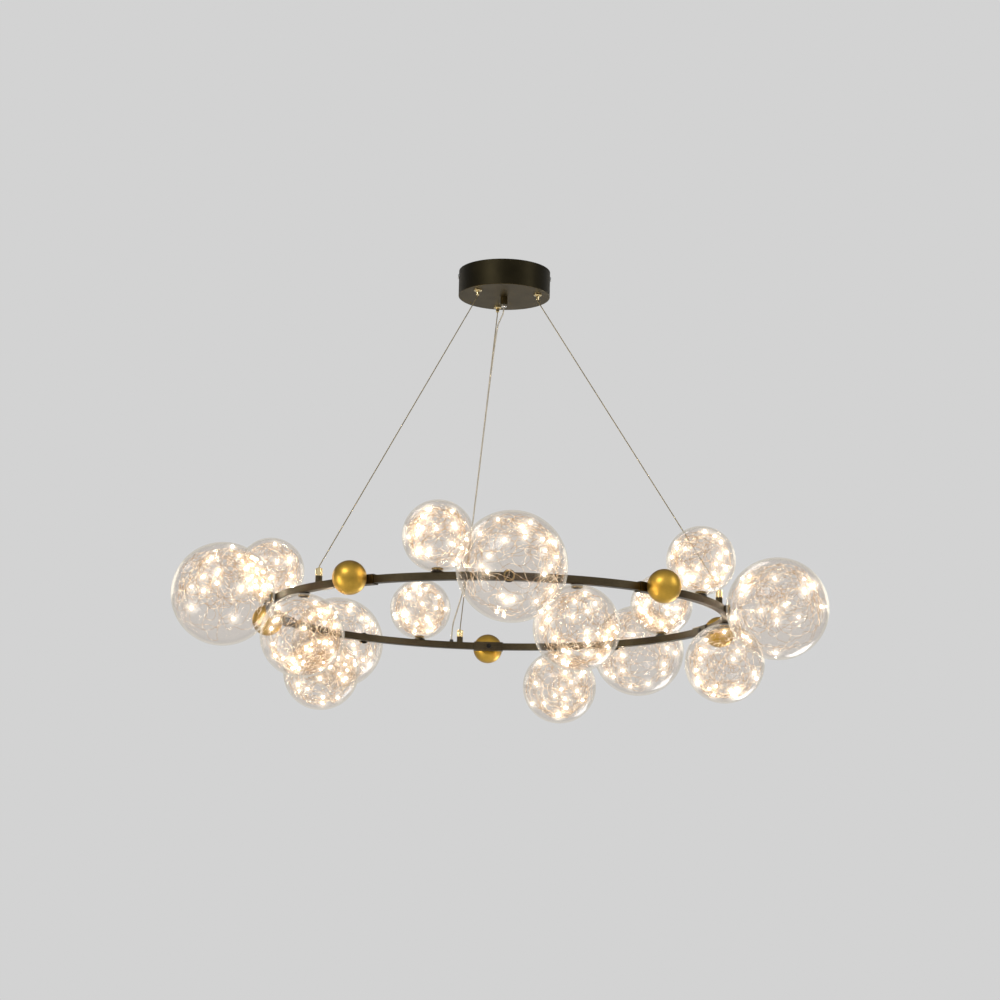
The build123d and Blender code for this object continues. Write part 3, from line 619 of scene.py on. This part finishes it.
def twisted_strands_tree():
    """Strands that go round each other along every line."""
    inputs = {
        "Strands": "Int",
        "Strand Radius": "Float",
        "Circle Radius": "Float",
        "Lay": "Float",
        "Step": "Float",
        "Material": "Material",
    }
    g = Growth("Twisted strands", inputs)
    steps = {"Curve": g.start, "Length": g.start.output("Step")}
    line = g.add("GeometryNodeResampleCurve", {"mode": "LENGTH"}, steps)
    along = g.add("GeometryNodeSplineParameter", output="Length")
    turn = (along / g.start.output("Lay")) * math.tau
    twisted = g.add("GeometryNodeSetCurveTilt", None, {"Curve": line, "Tilt": turn})
    sizes = {"Resolution": g.start.output("Strands"), "Radius": g.start.output("Circle Radius")}
    circle = g.add("GeometryNodeCurvePrimitiveCircle", None, sizes)
    sizes = {"Resolution": STRAND_SIDES, "Radius": g.start.output("Strand Radius")}
    strand = g.add("GeometryNodeCurvePrimitiveCircle", None, sizes)
    bundle = g.add("GeometryNodeInstanceOnPoints", None, {"Points": circle, "Instance": strand})
    profile = g.add("GeometryNodeRealizeInstances", None, {0: bundle})
    lines = {"Curve": twisted, "Profile Curve": profile, "Fill Caps": True}
    return g.done(g.add("GeometryNodeCurveToMesh", None, lines))


def bead_tree():
    """Light beads along every line, past the lead."""
    inputs = {
        "Count": "Int",
        "Radius": "Float",
        "Detail": "Int",
        "Stretch": "Float",
        "Lead Share": "Float",
        "Seed": "Int",
        "Material": "Material",
    }
    g = Growth("Light beads", inputs)
    trim = {"Curve": g.start, "Start": g.start.output("Lead Share")}
    line = g.add("GeometryNodeTrimCurve", {"mode": "FACTOR"}, trim)
    counted = {0: line, 1: g.start.output("Count")}
    points = g.add("GeometryNodeCurveToPoints", {"mode": "COUNT"}, counted)
    sizes = {"Radius": g.start.output("Radius"), "Subdivisions": g.start.output("Detail")}
    bead = g.add("GeometryNodeMeshIcoSphere", None, sizes)
    spread = {"Min_001": 0.82, "Max_001": 1.06, "Seed": g.start.output("Seed")}
    wide = g.add("FunctionNodeRandomValue", {"data_type": "FLOAT"}, spread, "Value_001")
    axes = {0: wide, 1: wide, 2: wide * g.start.output("Stretch")}
    scale = g.add("ShaderNodeCombineXYZ", None, axes)
    along = points.output("Rotation")
    beads = {"Points": points, "Instance": bead, "Rotation": along, "Scale": scale}
    return g.done(g.add("GeometryNodeInstanceOnPoints", None, beads))


def curve_of(name, routes, kind="POLY", resolution=8):
    """A bare curve with one spline along each route."""
    line = bpy.data.curves.new(name, "CURVE")
    line.dimensions = "3D"
    line.resolution_u = resolution
    for route in routes:
        spline = line.splines.new(kind)
        spline.points.add(len(route) - 1)
        for point, place in zip(spline.points, route):
            point.co = (*place, 1.0)
        if kind == "NURBS":
            spline.order_u = 3
            spline.use_endpoint_u = True
    return line


def placed(name, data):
    """A new object in the scene."""
    thing = bpy.data.objects.new(name, data)
    bpy.context.scene.collection.objects.link(thing)
    return thing


def grown(name, line, tree, sizes, body, slot_name, *replaced):
    """Runs a node tree on a curve and keeps the plain mesh as a piece on a body."""
    holder = placed(name + "_line", line)
    modifier = holder.modifiers.new("Grow", "NODES")
    modifier.node_group = tree
    for item in tree.interface.items_tree:
        if item.in_out == "INPUT" and item.name in sizes:
            modifier[item.identifier] = sizes[item.name]
    bpy.context.view_layer.update()
    seen = holder.evaluated_get(bpy.context.evaluated_depsgraph_get())
    mesh = bpy.data.meshes.new_from_object(seen)
    holder.modifiers.remove(modifier)
    bpy.data.objects.remove(holder)
    if not mesh.polygons:
        raise RuntimeError(f"{name}: the node tree made no faces")
    mesh.name = name
    if not mesh.materials:
        mesh.materials.append(sizes["Material"])
    piece = placed(name, mesh)
    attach(piece, body)
    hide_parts(*replaced)
    return piece


# ---------------------------------------------------------------- light strings


def globe_seats(kind):
    """The seats of a kind of globe, one in each sector: local Z points into the glass."""
    radius, height, tilt, turn = {
        "small": (RING_R, BAR_TOP, 0.0, SMALL_TURN),
        "medium": (RING_R, BAR_BOTTOM, math.pi, MEDIUM_TURN),
        "big": (RING_OUTER_R, BAR_MIDDLE, math.pi / 2, 0.0),
    }[kind]
    seat = Matrix.Translation((0, -radius, height)) @ Matrix.Rotation(tilt, 4, "X")
    turns = [math.radians(sector * 360 / SECTORS + turn) for sector in range(SECTORS)]
    return [Matrix.Rotation(angle_round, 4, "Z") @ seat for angle_round in turns]


def tangle(radius, length, bead, crinkle, lean, seed):
    """Control points of one wire: in by its lead, then to and fro in the glass.

    Each step goes on round the globe's middle, in a heading that bends at random and at a
    depth that drifts, and a lean draws it towards the globe's top.
    """
    random = np.random.default_rng(seed)
    reach = radius - GLASS_WALL - WIRE_GAP - bead
    middle = radius + NECK_FLAT
    floor = NUT_ROOM + bead
    here = np.array([0.0, 0.0, -1.0])
    heading = np.array([math.cos(seed), math.sin(seed), 0.0])
    bend, deep = 0.0, 0.5
    points = [(0, 0, height) for height in (*LEAD_HEIGHTS, floor, floor + LEAD_RISE)]
    for number in range(int(length / WIRE_STEP)):
        bend = BEND_KEPT * bend + random.normal(0.0, crinkle)
        drawn = DEPTH_NEW * random.random() ** DEPTH_POWER
        deep = DEPTH_KEPT * deep + drawn + random.normal(0.0, DEPTH_SHAKE)
        deep = min(1.0, max(0.0, deep))
        share = INNERMOST + (1.0 - INNERMOST) * math.sqrt(deep)
        side = np.cross(here, heading)
        heading = heading * math.cos(bend) + side * math.sin(bend)
        turn = WIRE_STEP / (reach * share)
        here, heading = (
            here * math.cos(turn) + heading * math.sin(turn),
            heading * math.cos(turn) - here * math.sin(turn),
        )
        here = here + np.array((0.0, lean, 0.0))
        here = here / np.linalg.norm(here)
        heading = heading - here * np.dot(heading, here)
        heading = heading / np.linalg.norm(heading)
        place = here * reach * share * min(1.0, FIRST_REACH + number / WIDENING)
        points.append((place[0], place[1], max(floor, middle + place[2])))
    return points


def kept_within(piece, middles, reach):
    """Draws what stands further than reach from its globe's middle back inside the glass."""
    mesh = piece.data
    places = np.empty(len(mesh.vertices) * 3)
    mesh.vertices.foreach_get("co", places)
    places = places.reshape(-1, 3)
    middles = np.array([tuple(m) for m in middles])
    nearest = np.linalg.norm(places[:, None, :] - middles[None, :, :], axis=2).argmin(axis=1)
    spokes = places - middles[nearest]
    lengths = np.linalg.norm(spokes, axis=1, keepdims=True)
    places = middles[nearest] + spokes * np.minimum(1.0, reach / np.maximum(lengths, 1e-9))
    mesh.vertices.foreach_set("co", places.ravel())
    mesh.update()


# ---------------------------------------------------------------- cable routes


def at(azimuth, radius, z):
    """A place by its azimuth in degrees, from the front towards the right."""
    turn = math.radians(azimuth)
    return Vector((radius * math.sin(turn), -radius * math.cos(turn), z))


def rounded(corners, radius):
    """Straight runs joined by tangent arcs of one radius."""
    points = [corners[0]]
    for before, corner, after in zip(corners, corners[1:], corners[2:]):
        back, on = (before - corner).normalized(), (after - corner).normalized()
        half = (math.pi - back.angle(on)) / 2
        reach = radius * math.tan(half)
        start, end = corner + back * reach, corner + on * reach
        centre = corner + (back + on).normalized() * (radius / math.cos(half))
        first, last = (start - centre).normalized(), (end - centre).normalized()
        for i in range(ARC_STEPS + 1):
            points.append(centre + first.slerp(last, i / ARC_STEPS) * radius)
    return [*points, corners[-1]]


def cable_route(azimuth, bend_radius):
    """A tight cable: straight in its gripper and its fitting, with a short bend beside each."""
    fall = NIPPLE_TIP - FITTING_MOUTH
    drop = bend_radius * math.tan(math.atan2(RING_R - GRIPPER_R, fall) / 2) + BEND_ROOM
    corners = [
        at(azimuth, GRIPPER_R, CABLE_TOP),
        at(azimuth, GRIPPER_R, NIPPLE_TIP - drop),
        at(azimuth, RING_R, FITTING_MOUTH + drop),
        at(azimuth, RING_R, FERRULE_END),
    ]
    return rounded(corners, bend_radius)


def spring_route(azimuth, low, high, radius):
    """A coil between the release nipple's collar and the top of the gripper's bore."""
    swing = Matrix.Rotation(math.radians(azimuth), 3, "Z")
    last = SPRING_TURNS * SPRING_STEPS
    points = []
    for i in range(last + 1):
        turn = math.tau * i / SPRING_STEPS
        x, y = radius * math.cos(turn), radius * math.sin(turn) - GRIPPER_R
        points.append(swing @ Vector((x, y, low + (high - low) * i / last)))
    return points


# ---------------------------------------------------------------- operators


class ORB_OT_globes(bpy.types.Operator):
    """Gives the globes their glass, and the caps, seals and lock nuts their finishes"""

    bl_idname = "orb.globes"
    bl_label = "Glass Globes"

    def execute(self, context):
        look = context.scene.orb_lamp.globes
        globes = [globe for kind in GLOBES for globe in five(f"{kind}_globe")]
        dress("clear_glass", clear_glass(look), *globes)
        dress("cap_bronze", turned_metal("cap_bronze", look.cap, 0.30), "orb_caps")
        dress("nut_brass", turned_metal("nut_brass", look.nut, 0.28), "orb_lock_nuts")
        dress("silicone", soft_rubber("silicone", look.seal), "orb_gaskets", "cord_grommet")
        return {"FINISHED"}


class ORB_OT_light_strings(bpy.types.Operator):
    """Winds a wire with light beads in each globe"""

    bl_idname = "orb.light_strings"
    bl_label = "Light Strings"

    def execute(self, context):
        look = context.scene.orb_lamp.lights
        wire, bead = enamelled_wire(look), light_bead(look)
        wires, beads = round_wire_tree(), bead_tree()
        balls = [("beads", look.bead_radius, BEAD_DETAIL, BEAD_STRETCH, bead)]
        for number, (share, strength) in enumerate(GLOW_SHELLS, 1):
            glow = bead_glow(f"bead_glow_{number}", look.glow, look.halo * strength)
            balls.append((f"glow_{number}", look.halo_radius * share, GLOW_DETAIL, 1.0, glow))
        for offset, (kind, radius) in enumerate(GLOBES.items()):
            seats = globe_seats(kind)
            middles = [seat @ Vector((0.0, 0.0, radius + NECK_FLAT)) for seat in seats]
            length = getattr(look, f"{kind}_length")
            lean = look.lean if kind == "big" else 0.0
            routes = []
            for number, seat in enumerate(seats):
                seed = look.seed * 100 + offset * 10 + number
                path = tangle(radius, length, look.bead_radius, look.crinkle, lean, seed)
                routes.append([seat @ Vector(p) for p in path])
            finish = ("hanging_ring", "led_wire", f"{kind}_led_strings")
            sizes = {"Radius": look.wire_radius, "Sides": WIRE_SIDES, "Material": wire}
            line = curve_of(f"{kind}_wire", routes, "NURBS", WIRE_SMOOTHNESS)
            grown(f"{kind}_light_wire", line, wires, sizes, *finish)
            for name, ball, detail, stretch, material in balls:
                sizes = {
                    "Count": look.beads,
                    "Radius": ball,
                    "Detail": detail,
                    "Stretch": stretch,
                    "Lead Share": LEAD_SHARE,
                    "Seed": look.seed + offset,
                    "Material": material,
                }
                line = curve_of(f"{kind}_{name}", routes, "NURBS", WIRE_SMOOTHNESS)
                piece = grown(f"{kind}_light_{name}", line, beads, sizes, *finish)
                kept_within(piece, middles, radius - GLASS_WALL - WIRE_GAP)
        return {"FINISHED"}


class ORB_OT_ring(bpy.types.Operator):
    """Gives the ring's tube, sleeves, fittings and screws their finishes"""

    bl_idname = "orb.ring"
    bl_label = "Ring"

    def execute(self, context):
        lamp = context.scene.orb_lamp
        bronze = ring_bronze(lamp.metals.bronze)
        tube = five("ring_segment")
        dress("ring_bronze", bronze, *tube, "joint_sleeves", "ring_fitting_bases")
        black = turned_metal("black_screw", lamp.metals.screws, 0.38)
        dress("black_screw", black, "ball_screws", "sleeve_grub_screws")
        dress("lead_sheath", moulded_plastic("feed_wire", lamp.plastics.feed), "ring_wiring")
        return {"FINISHED"}


class ORB_OT_gold_balls(bpy.types.Operator):
    """Gives the five balls their satin gold"""

    bl_idname = "orb.gold_balls"
    bl_label = "Gold Balls"

    def execute(self, context):
        gold = satin_gold(context.scene.orb_lamp.metals.gold)
        dress("satin_gold", gold, *five("gold_ball"))
        return {"FINISHED"}


class ORB_OT_canopy(bpy.types.Operator):
    """Gives the canopy, its bracket, screws and gland their finishes"""

    bl_idname = "orb.canopy"
    bl_label = "Canopy"

    def execute(self, context):
        look = context.scene.orb_lamp.metals
        black = canopy_black(look.black, look.plate)
        dress("canopy_black", black, "canopy_shell", "cord_gland_body")
        chrome = turned_metal("gland_chrome", look.chrome, 0.14, wear=0.06)
        dress("gland_chrome", chrome, "cord_gland_cap")
        zinc = turned_metal("zinc_steel", look.zinc, 0.40, scale=420.0, wear=0.18)
        nuts = ("gripper_nuts", "cord_gland_nut")
        dress("zinc_steel", zinc, "ceiling_bracket", "machine_screws", *nuts)
        return {"FINISHED"}


class ORB_OT_canopy_inside(bpy.types.Operator):
    """Gives the driver, terminal block and leads their plastics"""

    bl_idname = "orb.canopy_inside"
    bl_label = "Inside the Canopy"

    def execute(self, context):
        look = context.scene.orb_lamp.plastics
        white = moulded_plastic("white_plastic", look.driver)
        dress("white_plastic", white, "led_driver")
        cream = moulded_plastic("terminal_plastic", look.terminal, 0.35)
        dress("terminal_plastic", cream, "terminal_block")
        sheath = moulded_plastic("lead_sheath", look.lead, 0.36)
        dress("lead_sheath", sheath, "canopy_leads")
        return {"FINISHED"}


class ORB_OT_grippers(bpy.types.Operator):
    """Gives the cable grippers and ring fittings their brass, and winds their springs"""

    bl_idname = "orb.grippers"
    bl_label = "Grippers and Fittings"

    def execute(self, context):
        lamp = context.scene.orb_lamp
        brass = turned_metal("polished_brass", lamp.metals.brass, 0.20, wear=0.12)
        nipples = [f"release_nipple_{side}" for side in CABLES]
        dress("polished_brass", brass, "gripper_bodies", "ring_fitting_caps", *nipples)
        steel = turned_metal("spring_steel", lamp.metals.steel, 0.30)
        dress("spring_steel", steel, "cable_ferrules")
        look, wires = lamp.cables, round_wire_tree()
        wire, radius = look.spring_wire, look.spring_radius - look.spring_wire
        sizes = {"Radius": wire, "Sides": SPRING_SIDES, "Material": steel}
        for side, azimuth in CABLES.items():
            low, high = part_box(f"gripper_spring_{side}")
            route = spring_route(azimuth, low.z + wire, high.z - wire, radius)
            line = curve_of(f"spring_{side}", [route])
            finish = ("canopy", "spring_steel", f"gripper_spring_{side}")
            coil = grown(f"release_spring_{side}", line, wires, sizes, *finish)
            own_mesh(coil)
        return {"FINISHED"}


class ORB_OT_cables(bpy.types.Operator):
    """Strands the three suspension cables"""

    bl_idname = "orb.cables"
    bl_label = "Suspension Cables"

    def execute(self, context):
        look = context.scene.orb_lamp.cables
        steel = turned_metal("cable_steel", look.cable, 0.34, scale=1400.0, wear=0.3)
        strands = twisted_strands_tree()
        sizes = {
            "Strands": CABLE_STRANDS,
            "Strand Radius": look.cable_radius / 3.0,
            "Circle Radius": look.cable_radius * 2.0 / 3.0,
            "Lay": look.lay,
            "Step": CABLE_STEP,
            "Material": steel,
        }
        for side, azimuth in CABLES.items():
            line = curve_of(f"cable_{side}", [cable_route(azimuth, look.bend_radius)])
            finish = ("canopy", "cable_steel", f"suspension_cable_{side}")
            cable = grown(f"cable_{side}", line, strands, sizes, *finish)
            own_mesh(cable)
        return {"FINISHED"}


class ORB_OT_power_cord(bpy.types.Operator):
    """Lays the clear power cord from the gland to the ring"""

    bl_idname = "orb.power_cord"
    bl_label = "Power Cord"

    def execute(self, context):
        look = context.scene.orb_lamp.cables
        spline = curve_of("cord_route", [CORD_ROUTE], "NURBS", CORD_SMOOTHNESS)
        bare = bpy.data.objects.new("cord_route", spline)
        mesh = bpy.data.meshes.new_from_object(bare)
        path = [tuple(v.co) for v in mesh.vertices]
        bpy.data.objects.remove(bare)
        finish = ("canopy", "clear_cord", "power_cord")
        sizes = {"Radius": look.cord_radius, "Sides": CORD_SIDES, "Material": clear_sheath()}
        line = curve_of("cord_sheath", [path])
        sheath = grown("power_cord_sheath", line, round_wire_tree(), sizes, *finish)
        sizes = {
            "Strands": CORES,
            "Strand Radius": look.cord_radius * CORE_SHARE,
            "Circle Radius": look.cord_radius * CORE_SHARE,
            "Lay": look.core_lay,
            "Step": CORE_STEP,
            "Material": turned_metal("tinned_cores", look.cores, 0.35, scale=1400.0),
        }
        line = curve_of("cord_cores", [path])
        cores = grown("power_cord_cores", line, twisted_strands_tree(), sizes, *finish)
        for piece in (sheath, cores):
            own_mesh(piece)
        return {"FINISHED"}


def softbox(name, place, width, height, power, colour):
    """A rectangular studio lamp that points at the middle of the ring."""
    lamp = bpy.data.lights.new(name, "AREA")
    lamp.shape = "RECTANGLE"
    lamp.size, lamp.size_y = width, height
    lamp.energy = power
    lamp.color = colour
    holder = placed(name, lamp)
    holder.location = place
    beam = Vector(LAMP_MIDDLE) - Vector(place)
    holder.rotation_euler = beam.to_track_quat("-Z", "Y").to_euler()
    holder.visible_camera = False


def studio_world(look):
    """The backdrop that camera, mirrors and glass see, and a soft fill for the rest.

    Mirrors see the backdrop darker towards the far side of the lamp.
    """
    world = bpy.data.worlds.new("studio")
    bpy.context.scene.world = world
    world.use_nodes = True
    s = Sketch(world.node_tree)
    s.tree.nodes.clear()
    rays = s.add("ShaderNodeLightPath", output="Is Camera Ray")
    direct = (rays + rays.output("Is Glossy Ray") + rays.output("Is Transmission Ray")).bounded()
    sky = s.add("ShaderNodeTexCoord", output="Generated")
    ahead = s.add("ShaderNodeSeparateXYZ", None, {0: sky}, "Y")
    dark = ahead.above(-0.6, 0.8) * rays.output("Is Glossy Ray") * look.dim
    inputs = {"Factor_Float": dark, "A_Color": rgba(look.backdrop), "B_Color": rgba(BLACK)}
    seen = s.add("ShaderNodeMix", {"data_type": "RGBA"}, inputs, "Result_Color")
    shown = s.add("ShaderNodeBackground", None, {"Color": seen, "Strength": 1.0})
    fill = s.add("ShaderNodeBackground", None, {"Color": rgba(WHITE), "Strength": look.fill})
    mixed = s.add("ShaderNodeMixShader", None, {0: direct, 1: fill, 2: shown})
    s.add("ShaderNodeOutputWorld", None, {"Surface": mixed})


def studio_floor(look):
    """A wide pale floor, below the picture."""
    f = Finish("floor_paint")
    speckle = f.grain(60.0, detail=4.0)
    base = f.blend(speckle, shade(look.floor, 0.985), look.floor)
    material = f.done(f.principled(Base_Color=base, Roughness=speckle * 0.1 + 0.6))
    mesh = bpy.data.meshes.new("studio_floor")
    corners = [(x, y, -look.floor_drop) for x, y in ((-1, -1), (1, -1), (1, 1), (-1, 1))]
    corners = [(x * FLOOR_REACH, y * FLOOR_REACH, z) for x, y, z in corners]
    mesh.from_pydata(corners, [], [(0, 1, 2, 3)])
    mesh.materials.append(material)
    placed("studio_floor", mesh)


def studio_camera(look):
    """The photograph's view: from below the ring, looking up at it."""
    lens = bpy.data.cameras.new("camera")
    lens.lens, lens.sensor_width = look.camera_lens, SENSOR_WIDTH
    lens.sensor_fit = "HORIZONTAL"
    lens.clip_start, lens.clip_end = CAMERA_RANGE
    camera = placed("camera", lens)
    bpy.context.scene.camera = camera
    azimuth, pitch, roll = look.camera_azimuth, look.camera_pitch, look.camera_roll
    place = at(math.degrees(azimuth), look.camera_distance, -look.camera_drop)
    level, rise = math.cos(pitch), math.sin(pitch)
    ahead = Vector((-math.sin(azimuth) * level, math.cos(azimuth) * level, rise))
    right = Vector((math.cos(azimuth), math.sin(azimuth), 0.0))
    up = right.cross(ahead)
    side = right * math.cos(roll) + up * math.sin(roll)
    top = up * math.cos(roll) - right * math.sin(roll)
    turned = Matrix((side, top, -ahead)).transposed().to_4x4()
    camera.matrix_world = Matrix.Translation(place) @ turned


class ORB_OT_stage(bpy.types.Operator):
    """Sets up the floor, the studio lamps, the backdrop and the camera"""

    bl_idname = "orb.stage"
    bl_label = "Stage"

    def execute(self, context):
        look = context.scene.orb_lamp.stage
        studio_world(look)
        studio_floor(look)
        studio_camera(look)
        for lamp in STUDIO_LAMPS:
            softbox(*lamp)
        context.scene.view_settings.view_transform = "Standard"
        context.scene.cycles.transparent_max_bounces = GLASS_LAYERS
        return {"FINISHED"}


class ORB_PT_lamp(bpy.types.Panel):
    """Lists the lamp's settings and the steps that make it"""

    bl_label = "Orb Chandelier"
    bl_idname = "ORB_PT_lamp"
    bl_space_type = "VIEW_3D"
    bl_region_type = "UI"
    bl_category = "Chandelier"

    def draw(self, context):
        lamp = context.scene.orb_lamp
        for group in ("globes", "lights", "metals", "cables", "plastics", "stage"):
            box = self.layout.box()
            box.label(text=group.capitalize())
            settings = getattr(lamp, group)
            for name in settings.__annotations__:
                box.prop(settings, name)
        for step in STEPS:
            self.layout.operator(step.bl_idname)


SETTINGS = (
    ORB_PG_globes,
    ORB_PG_lights,
    ORB_PG_metals,
    ORB_PG_cables,
    ORB_PG_plastics,
    ORB_PG_stage,
    ORB_PG_lamp,
)
STEPS = (
    ORB_OT_stage,
    ORB_OT_power_cord,
    ORB_OT_cables,
    ORB_OT_globes,
    ORB_OT_light_strings,
    ORB_OT_ring,
    ORB_OT_gold_balls,
    ORB_OT_canopy,
    ORB_OT_canopy_inside,
    ORB_OT_grippers,
)


def register():
    """Adds the settings, steps and panel."""
    for kind in (*SETTINGS, *STEPS, ORB_PT_lamp):
        bpy.utils.register_class(kind)
    bpy.types.Scene.orb_lamp = PointerProperty(type=ORB_PG_lamp)


def unregister():
    """Takes the settings, steps and panel away."""
    del bpy.types.Scene.orb_lamp
    for kind in reversed((*SETTINGS, *STEPS, ORB_PT_lamp)):
        bpy.utils.unregister_class(kind)


def main():
    """Makes the whole lamp."""
    register()
    bpy.ops.orb.stage()
    bpy.ops.orb.power_cord()
    bpy.ops.orb.cables()
    bpy.ops.orb.globes()
    bpy.ops.orb.light_strings()
    bpy.ops.orb.ring()
    bpy.ops.orb.gold_balls()
    bpy.ops.orb.canopy()
    bpy.ops.orb.canopy_inside()
    bpy.ops.orb.grippers()
    bpy.context.view_layer.update()


if __name__ == "__main__":
    main()
